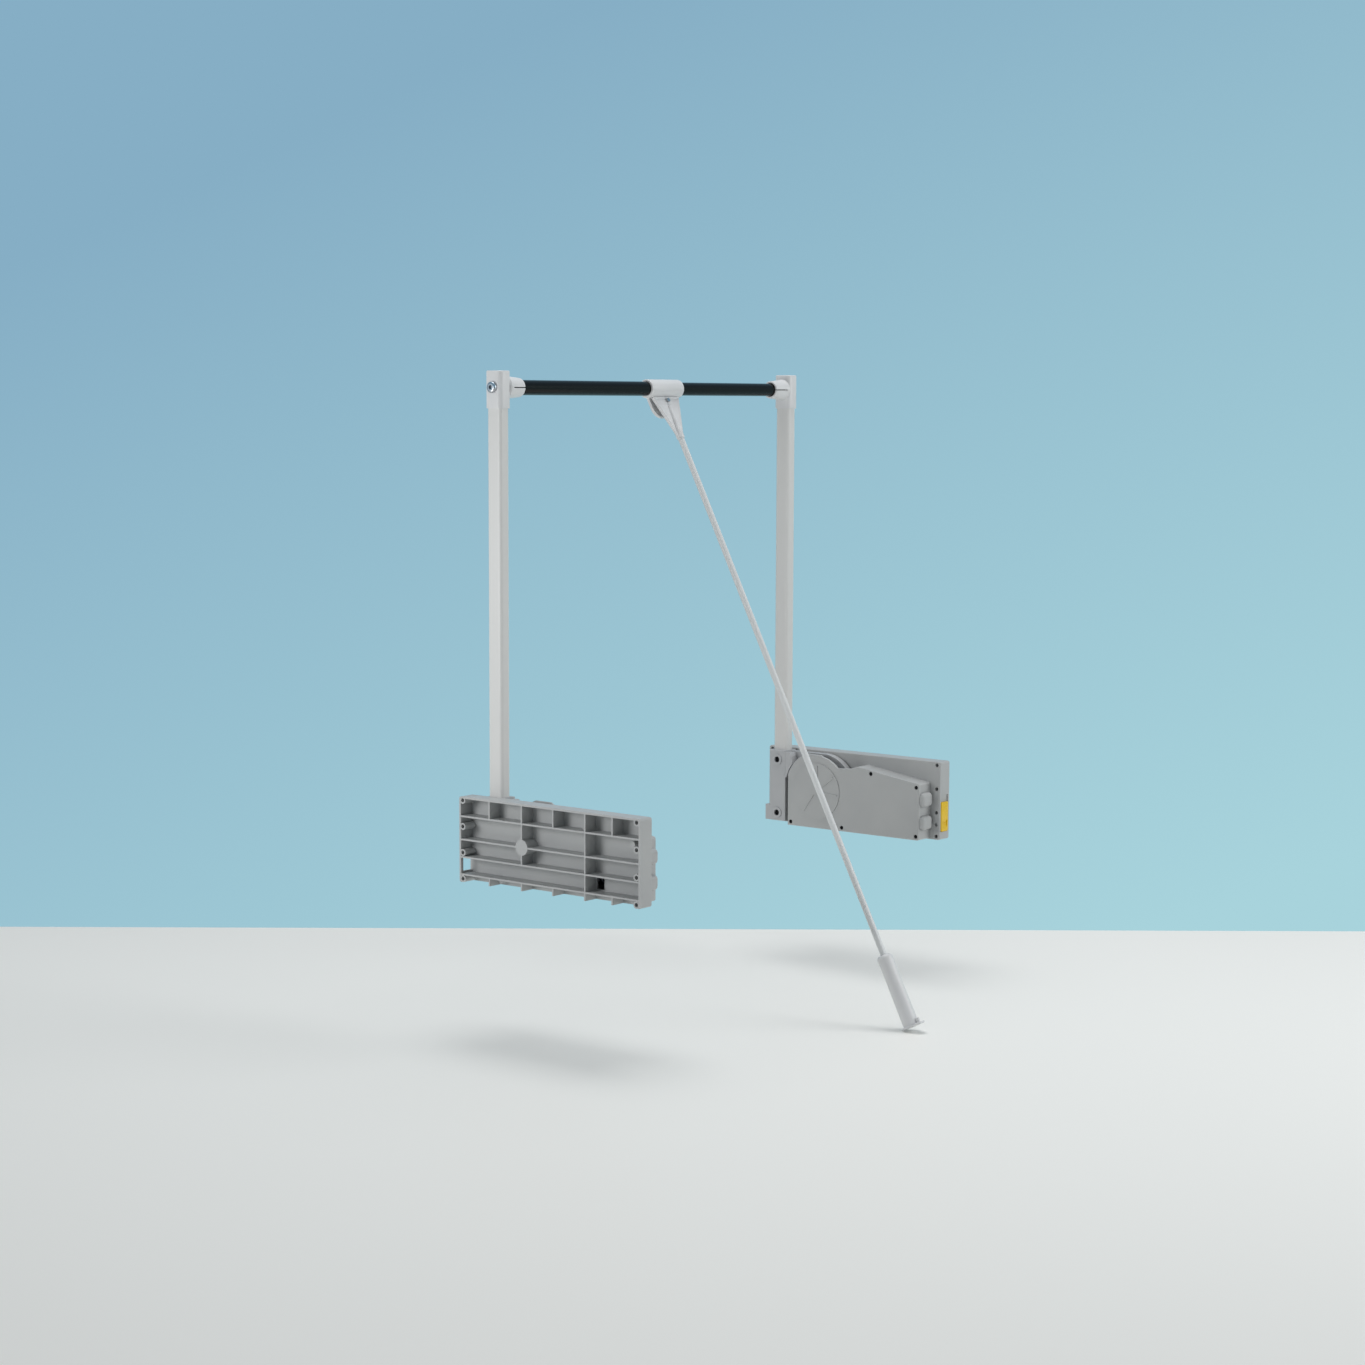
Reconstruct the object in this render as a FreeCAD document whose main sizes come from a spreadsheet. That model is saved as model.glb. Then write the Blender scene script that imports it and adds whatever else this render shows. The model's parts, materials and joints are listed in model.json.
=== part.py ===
"""Wardrobe lift: two spring housings, two arms, a telescopic rail and a pull rod.

The origin is the centre of the left housing's wall screws, on its wall face.
X runs from the left wall to the right wall, the front of the wardrobe is -Y, and Z is up.
The arms stand upright, which is their rest position.
"""
import FreeCAD, Part
import os
import re
import Sketcher
from FreeCAD import Placement, Rotation, Vector

os.makedirs("parts", exist_ok=True)
doc = FreeCAD.newDocument("wardrobe_lift")

# Driving dimensions in millimetres and degrees
SIZES = {
    # Distance between the two wardrobe walls as shown
    "wall_to_wall": 654,
    # Wall screws: four rows on the 32 mm grid, in two columns
    "hole_pitch": 32,
    "column_gap": 272,
    "screw_bore": 5,
    "boss_across": 8.6,
    # Housing base, hollow towards the wall
    "base_depth": 22,
    "edge_margin": 5.5,
    "rim_margin": 4.5,
    "rim_wall": 2.5,
    "floor_wall": 2.5,
    "rib_wall": 2,
    "corner_round": 3,
    "top_rib": 28.4,
    "channel_rib": -21.5,
    "lower_rib": -42.8,
    "rib_step_rear": 51.8,
    "rib_step": 49.5,
    "rib_step_front": 41.5,
    "window_start": 4,
    "window_deep": 15.5,
    "window_tall": 17,
    "floor_window": 12,
    "blind_deep": 3,
    "shallow_hole": 2,
    "thread_deep": 8,
    "thread_wall": 2,
    # Pivot of the arm, measured from the centre of the screws
    "pivot_ahead": 41,
    "shaft_across": 12,
    "shaft_seat": 5,
    "pivot_boss": 19,
    "running_gap": 0.05,
    "side_gap": 0.4,
    # Cover on the wardrobe side of the base
    "cover_depth": 27,
    "cover_wall": 3,
    "cover_rim": 2.5,
    "cover_bottom": -51.5,
    "cover_front": -125.5,
    "cover_front_wall": 4.5,
    "cover_front_top": 24.5,
    "slope_start": -27,
    "slope_top": 39.5,
    "notch_start": -14,
    "notch_top": 35.5,
    "arc_end": 34,
    "opening_front": -20,
    "cover_rear": 90,
    "cover_rear_top": 20,
    "cover_peak": 49.7,
    "cover_arc": 52.9,
    "hub_window": 48.5,
    "face_disc": 38,
    "face_disc_rise": 1.3,
    "star_rib": 2.2,
    "star_rise": 1,
    "lobe_radius": 9.5,
    "lobe_reach": 6.5,
    "cover_screw_bore": 3.4,
    "cover_screw_head": 5.6,
    "cover_screw_boss": 3.25,
    "cover_screw_sink": 3,
    "cover_screw_length": 30,
    "head_gap": 0.2,
    "thread_across": 3,
    # Lever that carries the arm
    "lever_start": 24,
    "web_depth": 10,
    "hub_radius": 36,
    "rim_radius": 49.5,
    "rim_angle": 55,
    "shoulder_radius": 53.9,
    "shoulder_low": 14,
    "web_reach": 57,
    "web_low": -30,
    "socket_front": 53.5,
    "socket_deep": 26.5,
    "socket_top": 51,
    "socket_low": -47,
    "toe_deep": 7,
    "toe_top": -26,
    "arm_offset": 66.75,
    "arm_plane": 35.5,
    "clamp_ring": 7.5,
    "clamp_ring_rise": 1.5,
    "clamp_upper": 38,
    "clamp_lower": -36,
    "clamp_head": 8,
    "clamp_sink": 3,
    "clamp_screw": 4,
    "bush_wall": 2,
    "bush_flange": 11,
    # Pinion and rack that press the springs together
    "pinion_radius": 20,
    "pinion_teeth": 20,
    "pinion_wide": 10,
    "tooth_relief": 0.45,
    "flank_foot": 0.5,
    "flank_tip": 0.75,
    "dog_radius": 3,
    "dog_offset": 11.5,
    "dog_length": 4,
    "rack_wide": 9,
    "rack_thick": 5,
    "rack_rear": 38,
    "yoke_rear": -18,
    "yoke_thick": 6,
    "yoke_low": -41,
    "yoke_top": 27.5,
    # Springs on their guide rods
    "spring_plane": 34,
    "spring_high": 2.5,
    "spring_low": -28.5,
    "spring_across": 20,
    "spring_wire": 2.8,
    "guide_across": 6,
    "guide_seat": 2.5,
    "guide_rear": -13,
    # Arm tubes
    "tube_deep": 22,
    "tube_wide": 16,
    "tube_round": 4,
    "tube_wall": 1.5,
    "tube_low": -41,
    "tube_rise": 8,
    # Rail and its corner connectors
    "rail_height": 545,
    "connector_rise": 20,
    "connector_drop": 25,
    "connector_deep": 26,
    "connector_wide": 20,
    "connector_round": 6,
    "socket_reach": 27,
    "socket_root": 14,
    "socket_mouth": 11.5,
    "slit": 1.2,
    "rail_across": 18.4,
    "rail_inner": 17,
    "rail_wall": 0.6,
    "rail_inner_wall": 1.2,
    "rail_join": 384,
    "rail_overlap": 186,
    "bolt_across": 8,
    "bolt_head": 14,
    "bolt_head_high": 4,
    "bolt_length": 34,
    "hex_across": 5,
    "plug_length": 22,
    # Pull rod, hanging from a collar on the rail
    "rod_tilt": 27,
    "collar_start": 315,
    "collar_length": 65,
    "collar_radius": 12,
    "head_top": 12.4,
    "head_length": 55.6,
    "head_half": 25.5,
    "head_foot": 4.4,
    "head_thick": 5,
    "ear_half": 23,
    "ear_drop": 37,
    "ear_round": 14,
    "ear_thick": 4.2,
    "ear_gap": 4.8,
    "pin_boss": 4,
    "head_pin": 17.5,
    "pin_across": 3.4,
    "rod_across": 8,
    "rod_socket": 5.4,
    "rod_socket_low": 3,
    "rod_socket_end": 3.2,
    "rod_in_head": 20,
    "rod_in_grip": 60,
    "rod_length": 790,
    "grip_radius": 10,
    "grip_length": 92,
    "flange_thick": 2.5,
    "flange_radius": 11.5,
    "flange_reach": 8,
    # Yellow selector in the front end of the right housing
    "selector_wide": 16.6,
    "selector_tall": 40,
    "selector_low": -41.5,
    "selector_travel": 9,
    "selector_sink": 1.5,
    "selector_proud": 1.2,
    "selector_side": 3,
    "stem_wide": 6,
    "stem_tall": 4,
    "stem_low": -36.2,
}

sheet = doc.addObject("Spreadsheet::Sheet", "dims")
for row, (alias, number) in enumerate(SIZES.items(), start=1):
    sheet.set(f"A{row}", alias)
    sheet.set(f"B{row}", str(number))
    sheet.setAlias(f"B{row}", alias)
corners = doc.addObject("Spreadsheet::Sheet", "corners")
doc.recompute()

# Places that several pieces share, as formulas over the driving dimensions
BASE_HALF = "(column_gap / 2 + edge_margin)"
BASE_TOP = "(1.5 * hole_pitch + rim_margin)"
FACE = "(base_depth + cover_depth)"
POCKET = "(base_depth - floor_wall)"
SOCKET_MIDDLE = "(pivot_ahead + arm_offset)"
SHAFT_BORE = "(shaft_across / 2 + running_gap)"
LEVER_END = "(lever_start + web_depth)"
CONNECTOR_FACE = "(arm_plane + connector_wide / 2)"
MOUTH = "(arm_plane + connector_wide / 2 + socket_reach)"
MODULE = "(2 * pinion_radius / pinion_teeth)"
ROOT = "(pinion_radius - 1.25 * 2 * pinion_radius / pinion_teeth)"
TIP = "(pinion_radius + 2 * pinion_radius / pinion_teeth)"
TUBE_TOP = "(rail_height + tube_rise)"
ROD_END = "(rod_in_head - head_top - head_length - rod_length)"
GRIP_TOP = "(rod_in_head - head_top - head_length - rod_length + rod_in_grip)"
GRIP_LOW = "(rod_in_head - head_top - head_length - rod_length + rod_in_grip - grip_length)"
ROWS = ("1.5 * hole_pitch", "0.5 * hole_pitch", "-0.5 * hole_pitch", "-1.5 * hole_pitch")
COLUMNS = ("column_gap / 2", "-column_gap / 2")
COVER_SCREWS = (
    ("cover_rear - 5.5", "cover_bottom + 5"),
    ("pivot_ahead - 42", "cover_bottom + 5"),
    ("slope_start - 21", "slope_top - 8"),
    ("cover_front + 4.5", "cover_front_top - 5"),
    ("cover_front + 4.5", "cover_bottom + 5"),
)
SPRING_ROWS = ("spring_high", "spring_low")


def formula(text):
    """Point every dimension's name in a formula at its cell in the sheet."""
    return re.sub(r"[a-z][a-z_]+", lambda word: "dims." + word.group() if word.group() in SIZES
                  else word.group(), str(text))


def link(thing, target, text):
    thing.setExpression(target, formula(text))


def worked_out(points):
    """Where the corners given by pairs of formulas lie, read back from their own sheet."""
    for row, texts in enumerate(points, start=1):
        for column, text in zip("AB", texts):
            corners.set(f"{column}{row}", "=" + formula(text))
    corners.recompute()
    return [Vector(float(corners.get(f"A{row}")), float(corners.get(f"B{row}")), 0)
            for row in range(1, len(points) + 1)]


SPIN = {"x": Rotation(Vector(0, 1, 0), 90), "y": Rotation(Vector(1, 0, 0), -90), "z": Rotation()}
PLANES = {"XY": ("z", "", Rotation()), "YZ": ("x", "", Rotation(0.5, 0.5, 0.5, 0.5)),
          "XZ": ("y", "-", Rotation(Vector(1, 0, 0), 90))}


class Piece:
    """One piece, built up from what is added and what is cut away, in that order."""

    def __init__(self, name):
        self.name = name
        self.solid = None
        self.added = []
        self.removed = []
        self.count = 0

    def new(self, kind):
        self.count += 1
        return doc.addObject(kind, f"{self.name}_{self.count}")

    def keep(self, item, cut):
        """Note a shape as added or cut away; an addition starts a new round after cuts."""
        if self.removed and not cut:
            self.settle()
        (self.removed if cut else self.added).append(item)
        return item

    def join(self, items):
        if len(items) == 1:
            return items[0]
        whole = self.new("Part::MultiFuse")
        whole.Shapes = items
        return whole

    def settle(self):
        if self.added:
            self.solid = self.join(([self.solid] if self.solid else []) + self.added)
        if self.removed:
            cut = self.new("Part::Cut")
            cut.Base = self.solid
            cut.Tool = self.join(self.removed)
            self.solid = cut
        self.added = []
        self.removed = []

    def shape(self, kind, place, turn, sizes, cut):
        item = self.new("Part::" + kind)
        item.Placement = Placement(Vector(), turn)
        for axis, text in zip("xyz", place):
            link(item, f"Placement.Base.{axis}", text)
        for side, text in sizes.items():
            link(item, side, text)
        return self.keep(item, cut)

    def box(self, low, size, cut=False, turn=Rotation()):
        return self.shape("Box", low, turn, dict(zip(("Length", "Width", "Height"), size)), cut)

    def round(self, axis, start, radius, length, cut=False, turn=None):
        return self.shape("Cylinder", start, turn or SPIN[axis], {"Radius": radius, "Height": length}, cut)

    def cone(self, axis, start, radius, radius_end, length, cut=False):
        return self.shape("Cone", start, SPIN[axis],
                          {"Radius1": radius, "Radius2": radius_end, "Height": length}, cut)

    def cut_box(self, low, size):
        return self.box(low, size, True)

    def cut_round(self, axis, start, radius, length):
        return self.round(axis, start, radius, length, True)

    def profile(self, plane, height, points, length, cut=False):
        """Extrude a sketched polygon whose corners are held at their own distances."""
        sketch = self.new("Sketcher::SketchObject")
        axis, sign, turn = PLANES[plane]
        sketch.Placement = Placement(Vector(), turn)
        link(sketch, f"Placement.Base.{axis}", f"{sign}({height})")
        spots = worked_out(points)
        last = len(spots)
        for corner in range(last):
            sketch.addGeometry(Part.LineSegment(spots[corner], spots[(corner + 1) % last]))
        for corner in range(last):
            sketch.addConstraint(Sketcher.Constraint("Coincident", (corner - 1) % last, 2, corner, 1))
        for corner, (spot, texts) in enumerate(zip(spots, points)):
            for way, value, text in zip(("DistanceX", "DistanceY"), spot, texts):
                index = sketch.addConstraint(Sketcher.Constraint(way, -1, 1, corner, 1, value))
                link(sketch, f"Constraints[{index}]", text)
        item = self.new("Part::Extrusion")
        item.Base = sketch
        item.DirMode = "Normal"
        item.Solid = True
        link(item, "LengthFwd", length)
        return self.keep(item, cut)

    def soften(self, radius, wanted, kind="Fillet"):
        """Round the edges of the piece, as it is now, that answer the test."""
        self.settle()
        doc.recompute()
        amount = worked_out([(radius, "0")])[0].x
        item = self.new("Part::" + kind)
        item.Base = self.solid
        item.Edges = [(number, amount, amount) for number, edge in enumerate(self.solid.Shape.Edges, start=1)
                      if wanted(edge)]
        self.solid = item
        return item

    def repeat(self, item, count):
        """Repeat one added shape evenly round the Z axis."""
        for number in range(1, count):
            again = self.new("Part::Compound")
            again.Links = [item]
            again.Placement = Placement(Vector(), Rotation(Vector(0, 0, 1), 1))
            link(again, "Placement.Rotation.Angle", f"360 / pinion_teeth * {number}")
            self.keep(again, False)

    @property
    def body(self):
        self.settle()
        self.solid.Label = self.name
        return self.solid

    def put(self, place, tilt):
        """Move the finished piece to its place, turned about X by a formula."""
        self.settle()
        body = self.new("Part::Compound")
        body.Label = self.name
        body.Links = [self.solid]
        body.Placement = Placement(Vector(), Rotation(Vector(1, 0, 0), 1))
        link(body, "Placement.Rotation.Angle", tilt)
        for axis, text in zip("xyz", place):
            link(body, f"Placement.Base.{axis}", text)
        return body


def along(axis):
    """Test for straight edges that run along one axis."""
    def test(edge):
        if edge.Curve.TypeId != "Part::GeomLine":
            return False
        way = edge.Vertexes[1].Point - edge.Vertexes[0].Point
        return abs(abs(getattr(way, axis)) - way.Length) < 1e-6
    return test


def on_plane(axis, value):
    """Test for edges that lie wholly in one plane square to an axis."""
    return lambda edge: all(abs(getattr(point, axis) - value) < 1e-6
                            for point in (edge.BoundBox.Center, edge.Vertexes[0].Point,
                                          edge.Vertexes[-1].Point)) \
        and abs(getattr(edge.BoundBox, axis.upper() + "Length")) < 1e-6


def size(name):
    return float(SIZES[name])


def group(name, pieces):
    """Separate identical solids that share one node."""
    item = doc.addObject("Part::Compound", name)
    item.Label = name
    item.Links = pieces
    return item


def mirrored(name, source):
    """The right-hand twin of a left-hand piece, mirrored between the two walls."""
    item = doc.addObject("Part::Mirroring", name)
    item.Label = name
    item.Source = source
    item.Normal = Vector(1, 0, 0)
    link(item, "Base.x", "wall_to_wall / 2")
    return item


def make_base():
    """Housing base: a tray of ribs that is open towards the wall."""
    base = Piece("base_left")
    base.box(("0", f"-{BASE_HALF}", f"-{BASE_TOP}"),
             ("base_depth", f"2 * {BASE_HALF}", f"2 * {BASE_TOP}"))
    base.soften("corner_round", along("x"))
    base.soften("rim_wall / 2", on_plane("x", size("base_depth")))
    base.cut_box(("0", f"-{BASE_HALF} + rim_wall", f"-{BASE_TOP} - 1"),
                 (POCKET, f"2 * {BASE_HALF} - 2 * rim_wall", f"2 * {BASE_TOP} + 1 - rim_wall"))
    rib_run = f"2 * {BASE_HALF} - 2 * rim_wall"
    for middle in ("top_rib", "0", "channel_rib", "lower_rib"):
        base.box(("0", f"-{BASE_HALF} + rim_wall", f"{middle} - rib_wall / 2"), (POCKET, rib_run, "rib_wall"))
    rear_rib = "pivot_ahead + rib_step_rear"
    third_rib = "pivot_ahead - rib_step"
    fourth_rib = "pivot_ahead - 2 * rib_step"
    front_rib = "pivot_ahead - 2 * rib_step - rib_step_front"
    for place, low in ((rear_rib, "top_rib"), ("pivot_ahead", "channel_rib"), (third_rib, "top_rib"),
                       (fourth_rib, "lower_rib"), (front_rib, "top_rib")):
        base.box(("0", f"{place} - rib_wall / 2", low), (POCKET, "rib_wall", f"{BASE_TOP} - {low} - 1"))
        base.box(("0", f"{place} - rib_wall / 2", f"-{BASE_TOP}"),
                 (POCKET, "rib_wall", f"{BASE_TOP} + lower_rib"))
    for column in COLUMNS:
        for row in ROWS:
            base.round("x", ("0", column, row), "boss_across / 2", f"{POCKET} + 1")
    base.round("x", (f"{POCKET} - blind_deep", "-column_gap / 2", "-hole_pitch"), "boss_across / 2",
               "blind_deep + 1")
    base.round("x", ("0", "pivot_ahead", "0"), "pivot_boss / 2", f"{POCKET} + 1")
    for column in COLUMNS:
        for row in ROWS:
            base.cut_round("x", ("-1", column, row), "screw_bore / 2", "base_depth + 2")
    base.cut_round("x", ("base_depth - blind_deep", "-column_gap / 2", "-hole_pitch"), "screw_bore / 2",
                   "blind_deep + 1")
    base.cut_round("x", ("base_depth - shallow_hole", "column_gap / 2 - hole_pitch", "1.5 * hole_pitch"),
                   "screw_bore / 2", "shallow_hole + 1")
    base.cut_round("x", ("shaft_seat", "pivot_ahead", "0"), "shaft_across / 2", "base_depth")
    base.cut_box(("window_start", f"{BASE_HALF} - rim_wall - 1", "channel_rib - rib_wall / 2 - window_tall"),
                 ("window_deep", "rim_wall + 2", "window_tall"))
    base.cut_box((f"{POCKET} - 1", f"{fourth_rib} - rib_wall - floor_window", "lower_rib + rib_wall"),
                 ("floor_wall + 2", "floor_window", "channel_rib - lower_rib - 2 * rib_wall"))
    for across, up in COVER_SCREWS:
        base.round("x", (f"{POCKET} - thread_deep", across, up), "thread_across / 2 + thread_wall",
                   "thread_deep + 1")
        base.cut_round("x", (f"{POCKET} - thread_deep + 1", across, up), "thread_across / 2",
                       "floor_wall + thread_deep")
    return base.body


def make_cover():
    """Cover: a face plate, a bottom wall and the closed spring chamber in front."""
    cover = Piece("cover_left")
    arc = [(f"pivot_ahead + cover_arc * cos({turn}deg)", f"cover_arc * sin({turn}deg)")
           for turn in (32, 42, 52, 62)]
    cover.profile("YZ", "base_depth", (
        ("cover_rear", "cover_bottom"), ("cover_rear", "cover_rear_top"), *arc,
        ("pivot_ahead + sqrt(cover_arc ^ 2 - cover_peak ^ 2)", "cover_peak"), ("pivot_ahead - 6", "cover_peak"),
        ("pivot_ahead - arc_end", "arc_end"), ("notch_start", "notch_top"),
        ("slope_start", "slope_top"), ("cover_front", "cover_front_top"), ("cover_front", "cover_bottom"),
    ), "cover_depth")
    cover.soften("corner_round", lambda edge: along("x")(edge)
                 and (edge.BoundBox.YMin < size("cover_front") + 1 or abs(edge.BoundBox.YMin - size("slope_start")) < 1))
    cover.round("x", (f"{FACE} - cover_wall", "pivot_ahead", "0"), "hub_window", "cover_wall")
    cover.soften("1.2", on_plane("x", size("base_depth") + size("cover_depth")))
    slope = "(slope_top - cover_front_top) / (slope_start - cover_front)"
    cover.profile("YZ", "base_depth", (
        ("cover_rear + 9", "cover_bottom + cover_rim"), ("cover_rear + 9", "70"), ("opening_front", "70"),
        ("opening_front", "notch_top"), ("slope_start", "slope_top - cover_rim"),
        ("cover_front + cover_front_wall",
         f"cover_front_top - cover_rim + {slope} * cover_front_wall"),
        ("cover_front + cover_front_wall", "cover_bottom + cover_rim"),
    ), "cover_depth - cover_wall", True)
    for across, up in COVER_SCREWS:
        cover.round("x", ("base_depth", across, up), "cover_screw_boss", "cover_depth - 0.5")
    cover.round("x", (f"{FACE} - 1", "pivot_ahead", "0"), "face_disc", "1 + face_disc_rise")
    for turn in (90, 141, 184, 232, 304):
        cover.box((FACE, "pivot_ahead", "0"), ("face_disc_rise + star_rise", "face_disc - 3", "star_rib"),
                  turn=Rotation(Vector(1, 0, 0), turn))
    cover.round("x", (FACE, "pivot_ahead", "0"), "5.5", "face_disc_rise + star_rise + 0.5")
    for row in SPRING_ROWS:
        cover.box(("base_depth + 2", "cover_front - lobe_reach", f"{row} - lobe_radius"),
                  ("cover_depth - 4", "lobe_reach + 1", "2 * lobe_radius"))
    lobe_face = size("cover_front") - size("lobe_reach")
    cover.soften("lobe_reach * 0.9", lambda edge: along("y")(edge) and edge.BoundBox.YMin < lobe_face + 0.1)
    cover.soften("lobe_reach * 0.7", on_plane("y", lobe_face))
    for across, up in COVER_SCREWS:
        cover.cut_round("x", ("base_depth - 1", across, up), "cover_screw_bore / 2", "cover_depth + 2")
        cover.cut_round("x", (f"{FACE} - cover_screw_sink", across, up), "cover_screw_head / 2", "9")
    for row in SPRING_ROWS:
        cover.cut_round("y", ("spring_plane", "cover_front + cover_front_wall - guide_seat", row),
                        "guide_across / 2", "guide_seat + 1")
    cover.cut_round("x", ("base_depth", "pivot_ahead", "0"), "shaft_across / 2", "cover_depth - cover_wall / 2")
    return cover.body


def make_cover_screws():
    screws = []
    for number, (across, up) in enumerate(COVER_SCREWS, start=1):
        screw = Piece(f"cover_screw_left_{number}")
        head = f"{FACE} - cover_screw_sink"
        screw.round("x", (head, across, up), "cover_screw_head / 2 - head_gap", "2")
        screw.round("x", (f"{head} - cover_screw_length", across, up), "thread_across / 2", "cover_screw_length")
        screw.cut_box((f"{head} + 1", f"{across} - 0.5", f"{up} - 2"), ("3", "1", "4"))
        screw.cut_box((f"{head} + 1", f"{across} - 2", f"{up} - 0.5"), ("3", "4", "1"))
        screws.append(screw.body)
    return group("cover_screws_left", screws)


def make_shaft():
    shaft = Piece("pivot_shaft_left")
    shaft.round("x", ("shaft_seat", "pivot_ahead", "0"), "shaft_across / 2",
                f"{FACE} - cover_wall / 2 - shaft_seat")
    shaft.soften("0.8", lambda edge: edge.Curve.TypeId == "Part::GeomCircle", "Chamfer")
    return shaft.body


def make_bush():
    bush = Piece("pivot_bush_left")
    bush.round("x", ("base_depth + side_gap", "pivot_ahead", "0"), "bush_flange",
               "lever_start - base_depth - side_gap")
    bush.round("x", ("lever_start - 1", "pivot_ahead", "0"), "shaft_across / 2 + bush_wall", "web_depth + 1")
    bush.cut_round("x", ("base_depth", "pivot_ahead", "0"), SHAFT_BORE, "web_depth + 9")
    return bush.body


def make_lever():
    """Lever: the hub plate beside the base, and the tall socket that grips the arm tube."""
    lever = Piece("lever_left")
    rear = "(pivot_ahead + socket_front)"
    lever.box(("lever_start", rear, "socket_low"),
              (f"{FACE} - lever_start", "socket_deep", "socket_top - socket_low"))
    lever.box(("lever_start", f"{rear} + socket_deep - 1", "socket_low"),
              (f"{FACE} - lever_start", "toe_deep + 1", "toe_top - socket_low"))
    lever.soften("1", on_plane("x", size("base_depth") + size("cover_depth")))
    lever.box(("lever_start", "pivot_ahead", "web_low"), ("web_depth", "web_reach", "rim_radius - web_low"))
    lever.round("x", ("lever_start", "pivot_ahead", "0"), "hub_radius", "web_depth")
    sector = lever.round("x", ("lever_start", "pivot_ahead", "0"), "rim_radius", "web_depth",
                         turn=Rotation(Vector(1, 0, 0), 180) * SPIN["x"])
    link(sector, "Angle", "rim_angle")
    curve = [(f"pivot_ahead + shoulder_radius * cos({turn}deg)", f"shoulder_radius * sin({turn}deg)")
             for turn in (39, 32, 25, 18)]
    lever.profile("YZ", "lever_start", (
        (f"{rear} + 1", "shoulder_low"), (f"{rear} + 1", "socket_top - 2.5"), (f"{rear} - 7", "socket_top - 2.5"),
        (f"{rear} - 9", "socket_top - 7"), *curve,
        ("pivot_ahead + sqrt(shoulder_radius ^ 2 - shoulder_low ^ 2)", "shoulder_low")),
        f"{FACE} - lever_start - 0.5")
    lever.cut_round("x", ("lever_start - 1", "pivot_ahead", "0"), "shaft_across / 2 + bush_wall", "web_depth + 2")
    for side in ("", "-"):
        lever.cut_round("x", (f"{LEVER_END} - dog_length", f"pivot_ahead + {side}dog_offset", "0"),
                        "dog_radius + running_gap", "dog_length + 1")
    lever.cut_box(("arm_plane - tube_wide / 2 - running_gap", f"{SOCKET_MIDDLE} - tube_deep / 2 - running_gap",
                   "tube_low"),
                  ("tube_wide + 2 * running_gap", "tube_deep + 2 * running_gap", "socket_top - tube_low + 1"))
    for row in ("clamp_upper", "clamp_lower"):
        lever.round("x", (f"{FACE} - 1", SOCKET_MIDDLE, row), "clamp_ring", "1 + clamp_ring_rise")
        lever.cut_round("x", (f"{FACE} - clamp_sink", SOCKET_MIDDLE, row), "clamp_head / 2 + head_gap", "9")
        lever.cut_round("x", ("arm_plane", SOCKET_MIDDLE, row), "clamp_screw / 2 + running_gap", "cover_depth")
    return lever.body


def make_clamp_screws():
    screws = []
    for number, row in enumerate(("clamp_upper", "clamp_lower"), start=1):
        screw = Piece(f"clamp_screw_left_{number}")
        head = f"{FACE} - clamp_sink"
        screw.round("x", (head, SOCKET_MIDDLE, row), "clamp_head / 2", "2.2")
        screw.round("x", ("arm_plane + 2", SOCKET_MIDDLE, row), "clamp_screw / 2", f"{head} - arm_plane - 2")
        screw.cut_box((f"{head} + 1", f"{SOCKET_MIDDLE} - 0.6", f"{row} - 2.4"), ("3", "1.2", "4.8"))
        screw.cut_box((f"{head} + 1", f"{SOCKET_MIDDLE} - 2.4", f"{row} - 0.6"), ("3", "4.8", "1.2"))
        screws.append(screw.body)
    return group("clamp_screws_left", screws)


def make_pinion():
    """Pinion fixed to the hub by two dogs; its teeth drive the rack."""
    pinion = Piece("pinion_left")
    pinion.round("z", ("0", "0", "0"), ROOT, "pinion_wide")
    half_foot = f"(pi * {MODULE} / 4 + flank_foot - tooth_relief)"
    half_tip = f"(pi * {MODULE} / 4 - flank_tip - tooth_relief)"
    tooth = pinion.profile("XY", "0", (
        (f"{ROOT} - 1", half_foot), (f"{ROOT} - 1", f"-{half_foot}"),
        (TIP, f"-{half_tip}"), (TIP, half_tip)), "pinion_wide")
    pinion.repeat(tooth, int(SIZES["pinion_teeth"]))
    for side in ("", "-"):
        pinion.round("z", (f"0", f"{side}dog_offset", "-dog_length + 0.5"), "dog_radius", "dog_length")
    pinion.cut_round("z", ("0", "0", "-1"), SHAFT_BORE, "pinion_wide + 2")
    body = pinion.body
    body.Placement = Placement(Vector(), Rotation(Vector(0, 0, 1), Vector(1, 0, 0)))
    for axis, text in zip("xyz", (LEVER_END, "pivot_ahead", "0")):
        link(body, f"Placement.Base.{axis}", text)
    return body


def make_rack():
    """Rack above the pinion; it slides forward as the arm comes down."""
    rack = Piece("rack_left")
    start = "(spring_plane + 1)"
    tooth_top = f"(pinion_radius + 1.25 * {MODULE})"
    pitch = f"(pi * {MODULE})"
    half_foot = f"({pitch} / 4 + flank_foot - tooth_relief)"
    half_tip = f"({pitch} / 4 - flank_tip - tooth_relief)"
    tip_height = f"(pinion_radius - {MODULE})"
    rear = "pivot_ahead + rack_rear"
    outline = [(rear, tooth_top), (rear, f"{tooth_top} + rack_thick"), ("yoke_rear", f"{tooth_top} + rack_thick"),
               ("yoke_rear", tooth_top)]
    for number in range(7):
        middle = f"pivot_ahead + {pitch} * ({number} - 0.5)"
        outline += [(f"{middle} - {half_foot}", tooth_top), (f"{middle} - {half_tip}", tip_height),
                    (f"{middle} + {half_tip}", tip_height), (f"{middle} + {half_foot}", tooth_top)]
    rack.profile("YZ", start, outline, "rack_wide")
    return rack.body


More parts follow.
